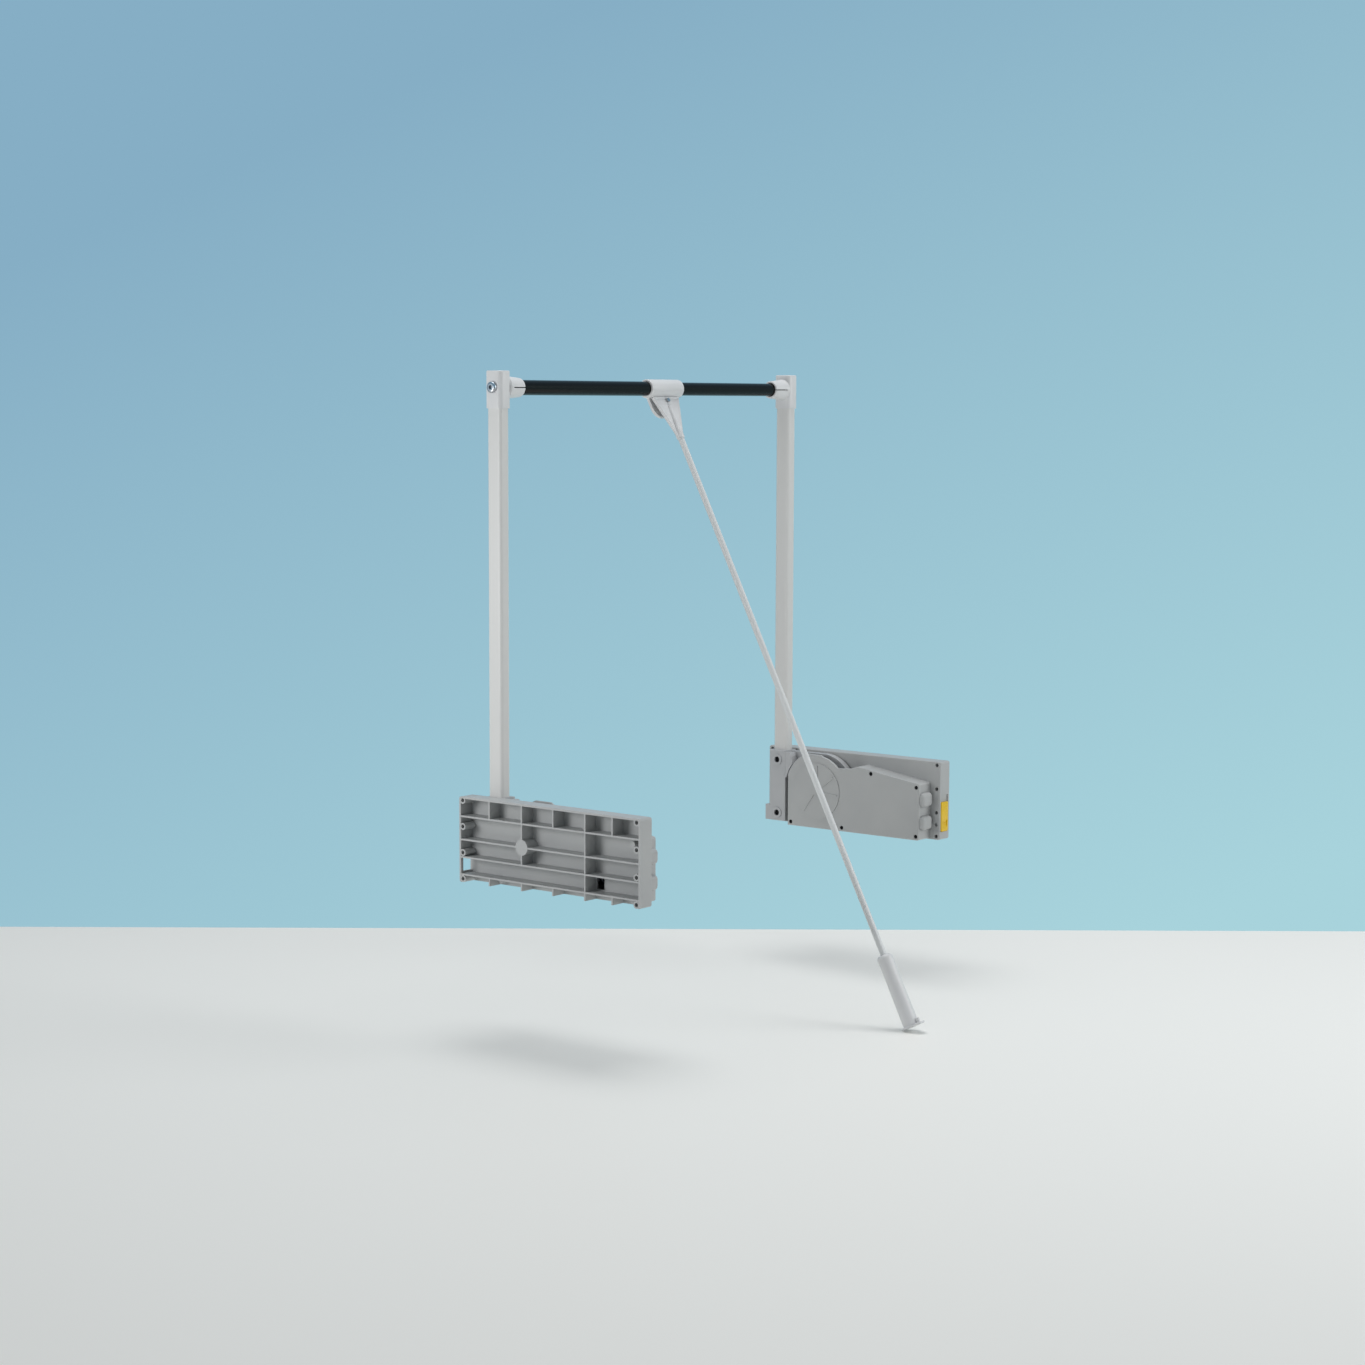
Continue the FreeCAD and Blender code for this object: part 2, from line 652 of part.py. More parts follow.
def make_yoke():
    """Yoke: the plate that presses both springs, pushed by the rack."""
    yoke = Piece("spring_yoke_left")
    yoke.box(("base_depth + 1", "yoke_rear - yoke_thick", "yoke_low"),
             ("cover_depth - cover_wall - 2", "yoke_thick", "yoke_top - yoke_low"))
    yoke.soften("2", along("y"))
    for row in SPRING_ROWS:
        yoke.round("y", ("spring_plane", "yoke_rear - yoke_thick - 5", row),
                   "spring_across / 2 - spring_wire - 0.5", "6")
        yoke.cut_round("y", ("spring_plane", "yoke_rear - yoke_thick - 9", row),
                       "guide_across / 2 + running_gap", "yoke_thick + 12")
    return yoke.body


def make_guides():
    rods = []
    for number, row in enumerate(SPRING_ROWS, start=1):
        rod = Piece(f"spring_guide_left_{number}")
        start = "(cover_front + cover_front_wall - guide_seat)"
        rod.round("y", ("spring_plane", start, row), "guide_across / 2", f"guide_rear - {start}")
        rods.append(rod.body)
    return group("spring_guides_left", rods)


def make_springs():
    springs = []
    for number, row in enumerate(SPRING_ROWS, start=1):
        spring = Piece(f"spring_left_{number}")
        start = "(cover_front + cover_front_wall)"
        spring.round("y", ("spring_plane", start, row), "spring_across / 2", f"yoke_rear - yoke_thick - {start}")
        spring.cut_round("y", ("spring_plane", f"{start} - 1", row), "spring_across / 2 - spring_wire",
                         f"yoke_rear - yoke_thick - {start} + 2")
        springs.append(spring.body)
    return group("springs_left", springs)


def make_arm_tube():
    """Arm: a rounded rectangular tube from the lever's socket up into the corner connector."""
    tube = Piece("arm_tube_left")
    low = (f"arm_plane - tube_wide / 2", f"{SOCKET_MIDDLE} - tube_deep / 2", "tube_low")
    tube.box(low, ("tube_wide", "tube_deep", f"{TUBE_TOP} - tube_low"))
    tube.soften("tube_round", along("z"))
    tube.cut_box((f"{low[0]} + tube_wall", f"{low[1]} + tube_wall", "tube_low - 1"),
                 ("tube_wide - 2 * tube_wall", "tube_deep - 2 * tube_wall", f"{TUBE_TOP} - tube_low + 2"))
    tube.cut_round("x", ("arm_plane - tube_wide", SOCKET_MIDDLE, "rail_height"), "bolt_across / 2 + running_gap",
                   "2 * tube_wide")
    for row in ("clamp_upper", "clamp_lower"):
        tube.cut_round("x", ("arm_plane", SOCKET_MIDDLE, row), "clamp_screw / 2 + running_gap", "tube_wide")
    return tube.body


def make_connector():
    """Corner connector: a cap on the arm with a conical, slit socket for the rail."""
    corner = Piece("corner_connector_left")
    low = ("arm_plane - connector_wide / 2", f"{SOCKET_MIDDLE} - connector_deep / 2", "rail_height - connector_drop")
    tall = "(connector_rise + connector_drop)"
    corner.box(low, ("connector_wide", "connector_deep", tall))
    corner.soften("connector_round", along("z"))
    corner.soften("1.5", on_plane("z", size("rail_height") + size("connector_rise")))
    corner.cone("x", (f"{CONNECTOR_FACE} - 2", SOCKET_MIDDLE, "rail_height"), "socket_root", "socket_mouth",
                "socket_reach + 2")
    corner.cut_box(("arm_plane - tube_wide / 2 - running_gap", f"{SOCKET_MIDDLE} - tube_deep / 2 - running_gap",
                    "rail_height - connector_drop - 1"),
                   ("tube_wide + 2 * running_gap", "tube_deep + 2 * running_gap",
                    "tube_rise + connector_drop + 1.2"))
    corner.cut_round("x", (CONNECTOR_FACE, SOCKET_MIDDLE, "rail_height"), "rail_across / 2 + running_gap",
                     "socket_reach + 1")
    corner.cut_round("x", ("0", SOCKET_MIDDLE, "rail_height"), "bolt_across / 2 + running_gap", MOUTH)
    corner.cut_box((f"{CONNECTOR_FACE} + 4", f"{SOCKET_MIDDLE} - 30", "rail_height - slit / 2"),
                   ("socket_reach", "30", "slit"))
    return corner.body


def make_bolt():
    """Button-head bolt with a hexagon socket that holds the rail's end."""
    bolt = Piece("connector_bolt_left")
    face = "(arm_plane - connector_wide / 2)"
    bolt.round("x", (f"{face} - bolt_head_high", SOCKET_MIDDLE, "rail_height"), "bolt_head / 2", "bolt_head_high")
    bolt.soften("bolt_head_high * 0.7", on_plane("x", size("arm_plane") - size("connector_wide") / 2
                                                 - size("bolt_head_high")))
    bolt.round("x", (f"{face} - 1", SOCKET_MIDDLE, "rail_height"), "bolt_across / 2", "bolt_length + 1")
    bolt.profile("YZ", f"{face} - bolt_head_high - 1", tuple(
        (f"{SOCKET_MIDDLE} + hex_across / sqrt(3) * cos({60 * side}deg)",
         f"rail_height + hex_across / sqrt(3) * sin({60 * side}deg)") for side in range(6)),
        "bolt_head_high", True)
    return bolt.body


def make_plug(name, radius):
    """Threaded plug pressed into the end of the rail."""
    plug = Piece(name)
    start = f"({CONNECTOR_FACE} + 0.5)"
    plug.round("x", (start, SOCKET_MIDDLE, "rail_height"), radius, "plug_length")
    plug.cut_round("x", (f"{start} - 1", SOCKET_MIDDLE, "rail_height"), "bolt_across / 2", "plug_length + 2")
    return plug.body


def make_rail(name, start, length, radius, wall):
    rail = Piece(name)
    rail.round("x", (start, SOCKET_MIDDLE, "rail_height"), radius, length)
    rail.cut_round("x", (f"{start} - 1", SOCKET_MIDDLE, "rail_height"), f"{radius} - {wall}", f"{length} + 2")
    return rail.body


def make_collar():
    """Collar on the rail, with the ear that the rod's head is pinned to."""
    collar = Piece("rail_collar")
    collar.round("x", ("0", "0", "0"), "collar_radius", "collar_length")
    ear_start = "collar_length / 2 - ear_half"
    collar.box((ear_start, "head_thick / 2 + ear_gap", "-ear_drop"), ("2 * ear_half", "ear_thick", "ear_drop - 4"))
    collar.soften("ear_round", lambda edge: along("y")(edge) and edge.BoundBox.ZMax < -size("ear_drop") + 0.1)
    collar.round("y", ("collar_length / 2", "head_thick / 2", "-head_pin"), "pin_boss", "ear_gap + 1")
    collar.cut_round("x", ("-1", "0", "0"), "rail_across / 2 + running_gap", "collar_length + 2")
    collar.cut_round("y", ("collar_length / 2", "-20", "-head_pin"), "pin_across / 2", "40")
    return collar.put(("collar_start", SOCKET_MIDDLE, "rail_height"), "-rod_tilt")


def make_head():
    """Triangular head of the rod, ribbed along its middle."""
    head = Piece("rod_head")
    middle = "collar_length / 2"
    low = "(-head_top - head_length)"
    head.profile("XZ", "-head_thick / 2", (
        (f"{middle} - head_half", "-head_top"), (f"{middle} - head_foot", low),
        (f"{middle} + head_foot", low), (f"{middle} + head_half", "-head_top")), "head_thick")
    head.cone("z", (middle, "0", f"{low} - rod_socket_low"), "rod_socket", "rod_socket_end",
              "head_top + head_length + rod_socket_low - head_pin - pin_boss - 2")
    head.cut_round("z", (middle, "0", f"{low} - rod_socket_low - 1"), "rod_across / 2",
                   "rod_in_head + rod_socket_low + 1")
    head.cut_round("y", (middle, "-20", "-head_pin"), "pin_across / 2", "40")
    return head.put(("collar_start", SOCKET_MIDDLE, "rail_height"), "-rod_tilt")


def make_head_pin():
    pin = Piece("head_pin")
    pin.round("y", ("collar_length / 2", "-head_thick / 2 - 1.5", "-head_pin"), "pin_across / 2",
              "head_thick + ear_gap + ear_thick + 1.5")
    pin.round("y", ("collar_length / 2", "-head_thick / 2 - 2", "-head_pin"), "pin_across / 2 + 1", "2")
    return pin.put(("collar_start", SOCKET_MIDDLE, "rail_height"), "-rod_tilt")


def make_rod():
    rod = Piece("pull_rod")
    rod.round("z", ("collar_length / 2", "0", ROD_END), "rod_across / 2", "rod_length")
    return rod.put(("collar_start", SOCKET_MIDDLE, "rail_height"), "-rod_tilt")


def make_grip():
    """Handle: a slightly waisted sleeve pushed over the end of the rod."""
    grip = Piece("handle_grip")
    middle = "collar_length / 2"
    grip.round("z", (middle, "0", GRIP_LOW), "grip_radius", "grip_length")
    low, top = (point.x for point in worked_out([(GRIP_LOW, "0"), (GRIP_TOP, "0")]))
    grip.soften("3", lambda edge: edge.Curve.TypeId == "Part::GeomCircle"
                and edge.Curve.Center.z > (low + top) / 2)
    grip.cut_round("z", (middle, "0", ROD_END), "rod_across / 2", "rod_in_grip + 1")
    return grip.put(("collar_start", SOCKET_MIDDLE, "rail_height"), "-rod_tilt")


def make_flange():
    """End flange of the handle, drawn out towards the front as a hook."""
    flange = Piece("handle_flange")
    middle = "collar_length / 2"
    low = f"({GRIP_LOW} - flange_thick)"
    flange.round("z", (middle, "0", low), "flange_radius", "flange_thick")
    flange.round("z", (middle, "-flange_reach", low), "flange_radius - 1", "flange_thick")
    flange.box((f"{middle} - 1.2", "-flange_reach - 6", GRIP_LOW), ("2.4", "flange_reach - 4.3", "5"))
    return flange.put(("collar_start", SOCKET_MIDDLE, "rail_height"), "-rod_tilt")


def make_right_base(left):
    """Right base: the mirrored left one with the selector's recess in its front end."""
    twin = mirrored("base_right_blank", left)
    wall = "wall_to_wall - selector_side - selector_wide - 0.4"
    recess = doc.addObject("Part::Box", "selector_recess")
    slot = doc.addObject("Part::Box", "selector_slot")
    for item, low, box in (
            (recess, (wall, f"-{BASE_HALF} - 1", "selector_low - 0.5"),
             ("selector_wide + 0.4", "selector_sink + 1", "selector_tall + selector_travel + 1")),
            (slot, ("wall_to_wall - selector_side - selector_wide / 2 - stem_wide / 2 - 0.2",
                    f"-{BASE_HALF} - 1", "stem_low - 0.3"),
             ("stem_wide + 0.4", "rim_wall + 2", "stem_tall + selector_travel + 0.6"))):
        for axis, text in zip("xyz", low):
            link(item, f"Placement.Base.{axis}", text)
        for side, text in zip(("Length", "Width", "Height"), box):
            link(item, side, text)
    cutters = doc.addObject("Part::MultiFuse", "selector_cutters")
    cutters.Shapes = [recess, slot]
    base = doc.addObject("Part::Cut", "base_right")
    base.Label = "base_right"
    base.Base = twin
    base.Tool = cutters
    return base


def make_selector():
    """Yellow selector: a tab with a finger ridge, held behind the end wall by its foot."""
    selector = Piece("force_selector")
    start = "(wall_to_wall - selector_side - selector_wide - 0.2)"
    face = f"(-{BASE_HALF} - selector_proud)"
    selector.box((start, face, "selector_low"), ("selector_wide", "selector_proud + selector_sink - 0.2",
                                                "selector_tall"))
    selector.soften("1", on_plane("y", -size("column_gap") / 2 - size("edge_margin") - size("selector_proud")))
    stem = f"{start} + selector_wide / 2 - stem_wide / 2"
    selector.box((stem, f"{face} + 1", "stem_low"), ("stem_wide", "selector_proud + rim_wall - 0.8", "stem_tall"))
    selector.box((f"{stem} - 1.5", f"-{BASE_HALF} + rim_wall + 0.2", "stem_low"),
                 ("stem_wide + 3", "1.2", "stem_tall"))
    selector.box((f"{stem}", f"-{BASE_HALF} + 1", "stem_low"), ("stem_wide", "rim_wall", "stem_tall"))
    selector.cut_box((f"{start} + selector_wide / 2 - 4", f"{face} - 1", "selector_low + 6"), ("8", "1.7", "8"))
    return selector.body


left_base = make_base()
nodes = [left_base, make_right_base(left_base)]
pairs = [make_cover(), make_cover_screws(), make_shaft(), make_guides(), make_springs(), make_lever(),
         make_bush(), make_pinion(), make_rack(), make_yoke(), make_arm_tube(), make_clamp_screws(),
         make_connector(), make_bolt()]
for piece in pairs:
    nodes += [piece, mirrored(piece.Label.replace("_left", "_right"), piece)]
nodes += [
    make_plug("rail_plug_left", "rail_across / 2 - rail_wall"),
    make_rail("rail_outer_tube", f"{CONNECTOR_FACE} + 0.3", f"rail_join - {CONNECTOR_FACE} - 0.3",
              "rail_across / 2", "rail_wall"),
    make_rail("rail_inner_tube", "rail_join - rail_overlap",
              f"wall_to_wall - {CONNECTOR_FACE} - 0.3 - rail_join + rail_overlap",
              "rail_inner / 2", "rail_inner_wall"),
    make_collar(), make_head(), make_head_pin(), make_rod(), make_grip(), make_flange(), make_selector(),
]
inner_plug = make_plug("rail_plug_blank", "rail_inner / 2 - rail_inner_wall")
nodes.append(mirrored("rail_plug_right", inner_plug))
doc.recompute()

for item in doc.Objects:
    if "Invalid" in item.State or "Error" in item.State:
        raise RuntimeError(f"{item.Label} could not be made")
for node in nodes:
    if node.Shape.isNull() or not node.Shape.isValid():
        raise RuntimeError(f"{node.Label} has no valid shape")
for node in nodes:
    node.Shape.exportStep(f"parts/{node.Label}.step")
    print(f"{node.Label}: {len(node.Shape.Solids)} solids, {node.Shape.Volume:.0f} mm3")
print(f"{len(nodes)} pieces written")
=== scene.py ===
# %% [markdown]
# # A wardrobe lift
# The lift carries a clothes rail high up in a wardrobe. Two grey housings are screwed to the walls,
# each holds a spring-balanced arm, and the arms meet in a telescopic black rail. A pull rod hangs
# from the rail, so that a person can bring the rail down and forward.
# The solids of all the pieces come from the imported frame. This lesson gives each one its finish,
# and models again by hand the ones whose soft moulded edges make the look.

# %% Load the frame
import json
import math

import bmesh
import bpy
from mathutils import Matrix, Vector


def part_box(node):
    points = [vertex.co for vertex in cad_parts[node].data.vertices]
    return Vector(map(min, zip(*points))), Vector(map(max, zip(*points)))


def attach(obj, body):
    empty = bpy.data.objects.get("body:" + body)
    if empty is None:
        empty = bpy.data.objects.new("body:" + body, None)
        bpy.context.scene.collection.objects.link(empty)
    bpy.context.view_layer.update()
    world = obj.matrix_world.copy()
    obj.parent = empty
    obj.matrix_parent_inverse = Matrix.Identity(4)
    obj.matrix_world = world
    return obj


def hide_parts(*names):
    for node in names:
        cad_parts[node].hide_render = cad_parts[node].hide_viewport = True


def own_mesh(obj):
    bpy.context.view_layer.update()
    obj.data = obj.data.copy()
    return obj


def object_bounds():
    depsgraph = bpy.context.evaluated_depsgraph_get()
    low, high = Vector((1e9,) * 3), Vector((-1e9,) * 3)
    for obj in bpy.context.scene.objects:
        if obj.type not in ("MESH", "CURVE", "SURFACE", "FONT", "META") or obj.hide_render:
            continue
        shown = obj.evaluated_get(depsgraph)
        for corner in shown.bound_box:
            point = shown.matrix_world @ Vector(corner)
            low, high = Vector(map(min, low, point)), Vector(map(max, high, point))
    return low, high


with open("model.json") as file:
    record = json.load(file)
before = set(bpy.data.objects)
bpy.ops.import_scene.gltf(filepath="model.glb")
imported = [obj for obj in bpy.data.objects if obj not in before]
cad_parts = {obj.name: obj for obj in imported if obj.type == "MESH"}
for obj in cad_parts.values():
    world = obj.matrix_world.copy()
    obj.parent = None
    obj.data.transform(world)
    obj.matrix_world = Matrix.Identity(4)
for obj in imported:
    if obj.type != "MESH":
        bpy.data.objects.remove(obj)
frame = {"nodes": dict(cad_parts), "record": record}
cad_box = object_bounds()
nodes = frame["nodes"]
print("pieces from the frame:", len(nodes))

# %% [markdown]
# ## The camera
# The photograph looks at the lift from the front left, a little above the middle of the arms. A lens
# with a narrow angle was used, so the two arms stay almost parallel. The camera is set by its place
# and by three angles: how far it turns to the right, how far it looks down, and how far it leans.

# %% Camera
CAMERA_PLACE = (-2.3459, -2.0563, 0.5288)
LENS_MM, SEES_UP_TO = 70.43, 60
TURN, TIP, LEAN = math.radians(51.686), math.radians(-6.004), math.radians(0.194)
ahead = Vector((math.sin(TURN) * math.cos(TIP), math.cos(TURN) * math.cos(TIP), math.sin(TIP)))
level = Vector((math.cos(TURN), -math.sin(TURN), 0))
upright = level.cross(ahead)
right = math.cos(LEAN) * level + math.sin(LEAN) * upright
upward = math.cos(LEAN) * upright - math.sin(LEAN) * level
bpy.ops.object.camera_add()
camera = bpy.context.object
camera.name = "photo_camera"
camera.data.lens = LENS_MM
camera.data.clip_end = SEES_UP_TO
turned = Matrix((right, upward, -ahead)).transposed().to_4x4()
camera.matrix_world = Matrix.Translation(CAMERA_PLACE) @ turned
bpy.context.scene.camera = camera
bpy.context.scene.view_settings.view_transform = "Standard"
print("camera looks along", [round(value, 3) for value in ahead])

# %% [markdown]
# ## Colours
# A colour that is read off a screen is stored with a curve. The renderer counts in plain light, so
# each colour is first turned into plain light by the same rule that screens follow.


# %% Colour helper
def plain(red, green, blue):
    """Screen colour from 0 to 255 as plain light."""
    def one(value):
        value /= 255
        return value / 12.92 if value <= 0.04045 else ((value + 0.055) / 1.055) ** 2.4
    return (one(red), one(green), one(blue), 1)


print("mid grey in plain light:", round(plain(128, 128, 128)[0], 3))

# %% [markdown]
# ## What all finishes share
# Every finish is a shader that noises vary a little: in tone, in gloss, or in relief. The noises read
# the piece's own coordinates, so the pattern stays on the piece when it moves. Written once as
# helpers, these steps leave each kind of finish below only a few lines long.

# %% Finish helpers
RELIEF_DEPTH = 0.0001


def new_finish(name):
    """A new material, its node tree, its shader and the piece's own coordinates."""
    finish = bpy.data.materials.new(name)
    finish.use_nodes = True
    tree = finish.node_tree
    place = tree.nodes.new("ShaderNodeTexCoord").outputs["Object"]
    return finish, tree, tree.nodes["Principled BSDF"], place


def noise(tree, place, scale, detail=2, distortion=0):
    """A noise whose value can vary a tone, a gloss or a relief."""
    pattern = tree.nodes.new("ShaderNodeTexNoise")
    pattern.inputs["Scale"].default_value = scale
    pattern.inputs["Detail"].default_value = detail
    pattern.inputs["Distortion"].default_value = distortion
    tree.links.new(place, pattern.inputs["Vector"])
    return pattern.outputs["Fac"]


def vary_tone(tree, shader, pattern, dark, tone, begin=0, end=1):
    """Mix two tones by the noise; between begin and end of its value they blend."""
    tones = tree.nodes.new("ShaderNodeValToRGB")
    tones.color_ramp.elements[0].position = begin
    tones.color_ramp.elements[1].position = end
    tones.color_ramp.elements[0].color = dark
    tones.color_ramp.elements[1].color = tone
    tree.links.new(pattern, tones.inputs["Fac"])
    tree.links.new(tones.outputs["Color"], shader.inputs["Base Color"])


def vary_gloss(tree, shader, pattern, lowest, highest):
    """Let the noise move the roughness between two values."""
    rough = tree.nodes.new("ShaderNodeMapRange")
    rough.inputs["To Min"].default_value = lowest
    rough.inputs["To Max"].default_value = highest
    tree.links.new(pattern, rough.inputs["Value"])
    tree.links.new(rough.outputs["Result"], shader.inputs["Roughness"])


def add_relief(tree, shader, pattern, strength):
    """Let the noise catch the light like a fine relief."""
    bump = tree.nodes.new("ShaderNodeBump")
    bump.inputs["Strength"].default_value = strength
    bump.inputs["Distance"].default_value = RELIEF_DEPTH
    tree.links.new(pattern, bump.inputs["Height"])
    tree.links.new(bump.outputs["Normal"], shader.inputs["Normal"])


print("depth of the relief in metres:", RELIEF_DEPTH)

# %% [markdown]
# ## Moulded plastic
# The housings, the corner pieces and the handle are moulded. Such plastic has a very fine grain from
# the mould, and its tone drifts a little where the melt cooled at different speeds. Two noises do
# this: a wide one for the tone, and a fine one for the gloss and the grain that the light catches.


# %% Moulded finish
def moulded(name, tone, dark, gloss, grain=2400, relief=0.05):
    """Plastic from a mould, with a tone that drifts and a fine grain."""
    finish, tree, shader, place = new_finish(name)
    drift = noise(tree, place, scale=14, detail=4)
    vary_tone(tree, shader, drift, dark, tone, begin=0.3, end=0.7)
    fine = noise(tree, place, scale=grain)
    vary_gloss(tree, shader, fine, lowest=gloss - 0.06, highest=gloss + 0.08)
    add_relief(tree, shader, fine, relief)
    return finish


FINISHES = {
    "housing_grey": moulded("housing_grey_grain", plain(174, 176, 176), plain(167, 169, 170), gloss=0.46),
    "lever_grey": moulded("lever_grey_grain", plain(176, 178, 180), plain(168, 170, 173), gloss=0.44),
    "connector_grey": moulded("moulded_white_grain", plain(214, 215, 216), plain(206, 208, 210), gloss=0.36),
    "slide_nylon": moulded("slide_nylon_grain", plain(232, 231, 226), plain(222, 221, 214), gloss=0.5),
    "selector_yellow": moulded("selector_yellow_gloss", plain(226, 188, 14), plain(218, 178, 6), gloss=0.26,
                               grain=1600, relief=0.03),
}
print("moulded finishes made:", len(FINISHES))

# %% [markdown]
# ## Painted and plated metal
# The arms and the rod are coated in a light grey powder. Up close such a coat has a soft ripple, like
# the peel of an orange. The rail is smooth and black, with only a faint gloss.
# The screws and the shaft are zinc plated, with fine scratches that run in all directions.


# %% Metal finishes
def coated(name, tone, gloss, wander, ripple, scale, shine):
    """Paint or powder of one tone, whose gloss wanders a little over a soft ripple."""
    finish, tree, shader, place = new_finish(name)
    shader.inputs["Base Color"].default_value = tone
    shader.inputs["Specular IOR Level"].default_value = shine
    peel = noise(tree, place, scale, detail=1)
    vary_gloss(tree, shader, peel, lowest=gloss - wander, highest=gloss + wander)
    add_relief(tree, shader, peel, ripple)
    return finish


def plated(name, tone, dark, gloss):
    """Bare or plated steel, with a cloudy tone and scratches in its gloss."""
    finish, tree, shader, place = new_finish(name)
    shader.inputs["Metallic"].default_value = 1
    clouds = noise(tree, place, scale=90, detail=6)
    vary_tone(tree, shader, clouds, dark, tone)
    scratches = noise(tree, place, scale=1400, distortion=2)
    vary_gloss(tree, shader, scratches, lowest=gloss - 0.08, highest=gloss + 0.1)
    return finish


METALS = {
    "arm_grey": coated("arm_grey_powder", plain(208, 209, 208), gloss=0.36, wander=0.01, ripple=0.04,
                       scale=900, shine=0.5),
    "rod_grey": coated("rod_grey_powder", plain(212, 215, 216), gloss=0.38, wander=0.005, ripple=0.005,
                       scale=900, shine=0.4),
    "rail_black": coated("rail_black_gloss", plain(17, 15, 14), gloss=0.165, wander=0.045, ripple=0.05,
                         scale=260, shine=0.14),
    "plated_steel": plated("zinc_plate", plain(190, 192, 196), plain(150, 153, 158), gloss=0.3),
    "spring_steel": plated("oiled_spring_steel", plain(110, 112, 118), plain(70, 72, 76), gloss=0.34),
    "black_screw": plated("blackened_screw_steel", plain(46, 46, 48), plain(26, 26, 28), gloss=0.36),
}
FINISHES.update(METALS)
print("metal finishes made:", len(METALS))

# %% [markdown]
# ## Finishes on the pieces of the frame
# Each piece of the frame is painted by what it is made of. Small pieces share the finish of their
# kind, as in the real lift, where all screws come from one box.

# %% Paint the frame
for part in frame["record"]["subparts"]:
    mesh = nodes[part["node"]].data
    mesh.materials.clear()
    mesh.materials.append(FINISHES[part["material_slot"]])

# %% [markdown]
# ## Ways of shaping
# Every hand-made piece below starts as a simple form in edit mode. Faces are chosen by where they
# lie, pushed out, narrowed or rounded, and modifiers then soften the edges or cut the bores. A face
# or edge counts as pointing along an axis when that share of its direction is above ALONG.

# %% Shaping helpers
ALONG = 0.9
ALONG_X, ALONG_Y = (0, math.pi / 2, 0), (math.pi / 2, 0, 0)


def pick(*pieces):
    """Select these pieces alone, and make the last one active."""
    bpy.ops.object.select_all(action="DESELECT")
    for piece in pieces:
        piece.select_set(True)
        bpy.context.view_layer.objects.active = piece


def into_mesh(location=False, rotation=False, scale=False):
    """Put the selected form's place, turn or size into its mesh."""
    bpy.ops.object.transform_apply(location=location, rotation=rotation, scale=scale)


def start(name):
    """Name the form that was just added and open it for editing."""
    piece = bpy.context.object
    piece.name = name
    piece.data.name = name
    bpy.ops.object.mode_set(mode="EDIT")
    bpy.ops.mesh.select_mode(type="FACE")
    return piece


def choose(piece, test, kind="faces"):
    """Select only the faces, or edges, whose middle and direction answer the test."""
    bpy.ops.mesh.select_mode(type="FACE" if kind == "faces" else "EDGE")
    bpy.ops.mesh.select_all(action="DESELECT")
    form = bmesh.from_edit_mesh(piece.data)
    for item in getattr(form, kind):
        if kind == "faces":
            wanted = test(item.calc_center_median(), item.normal)
        else:
            first, last = item.verts
            wanted = test((first.co + last.co) / 2, (last.co - first.co).normalized())
        item.select_set(bool(wanted))
    form.select_flush_mode()
    bmesh.update_edit_mesh(piece.data)


def push(step, grow=1.0):
    """Extrude the chosen faces by a step and make their outline larger or smaller."""
    bpy.ops.mesh.extrude_region_move(TRANSFORM_OT_translate={"value": step})
    if grow != 1.0:
        bpy.ops.transform.resize(value=(grow, grow, 1), center_override=(0, 0, 0))


def face_outwards():
    """Turn all faces of the form that is open for editing outwards."""
    bpy.ops.mesh.select_all(action="SELECT")
    bpy.ops.mesh.normals_make_consistent(inside=False)


def apply_all(piece):
    """Turn the piece's modifiers into plain mesh."""
    pick(piece)
    for modifier in list(piece.modifiers):
        bpy.ops.object.modifier_apply(modifier=modifier.name)


def rounded(piece, width, steps=3, angle=30):
    """Round every edge that is sharper than the angle."""
    bevel = piece.modifiers.new("rounded edges", "BEVEL")
    bevel.width = width
    bevel.segments = steps
    bevel.limit_method = "ANGLE"
    bevel.angle_limit = math.radians(angle)
    apply_all(piece)


def cut(piece, tool, mode="DIFFERENCE"):
    """Take the tool's form out of the piece, or join it on, and remove the tool."""
    boolean = piece.modifiers.new("cut", "BOOLEAN")
    boolean.operation = mode
    boolean.solver = "EXACT"
    boolean.object = tool
    apply_all(piece)
    bpy.data.objects.remove(tool, do_unlink=True)


def rod_tool(radius, depth, place, turn=(0, 0, 0), sides=48):
    """A round bar, upright unless it is turned."""
    bpy.ops.object.select_all(action="DESELECT")
    bpy.ops.mesh.primitive_cylinder_add(vertices=sides, radius=radius, depth=depth,
                                        location=place, rotation=turn)
    return bpy.context.object


def block_tool(size, place):
    """A block of this size in all three directions."""
    bpy.ops.object.select_all(action="DESELECT")
    bpy.ops.mesh.primitive_cube_add(size=1, location=place)
    bpy.context.object.scale = size
    into_mesh(scale=True)
    return bpy.context.object


def start_block(name, size, place):
    """A block whose place is in its mesh, open for editing."""
    block_tool(size, place)
    into_mesh(location=True)
    return start(name)


def lathe(name, outline, sides=64):
    """A round form about the Z axis from pairs of height and radius, from bottom to top."""
    (low, first), (high, radius) = outline[:2]
    rod_tool(first, high - low, (0, 0, (low + high) / 2), sides=sides)
    into_mesh(location=True)
    piece = start(name)
    choose(piece, lambda middle, way: way.z > ALONG)
    if radius != first:
        bpy.ops.transform.resize(value=(radius / first, radius / first, 1), center_override=(0, 0, 0))
    for height, after in outline[2:]:
        push((0, 0, height - high), after / radius)
        high, radius = height, after
    face_outwards()
    bpy.ops.object.mode_set(mode="OBJECT")
    return piece


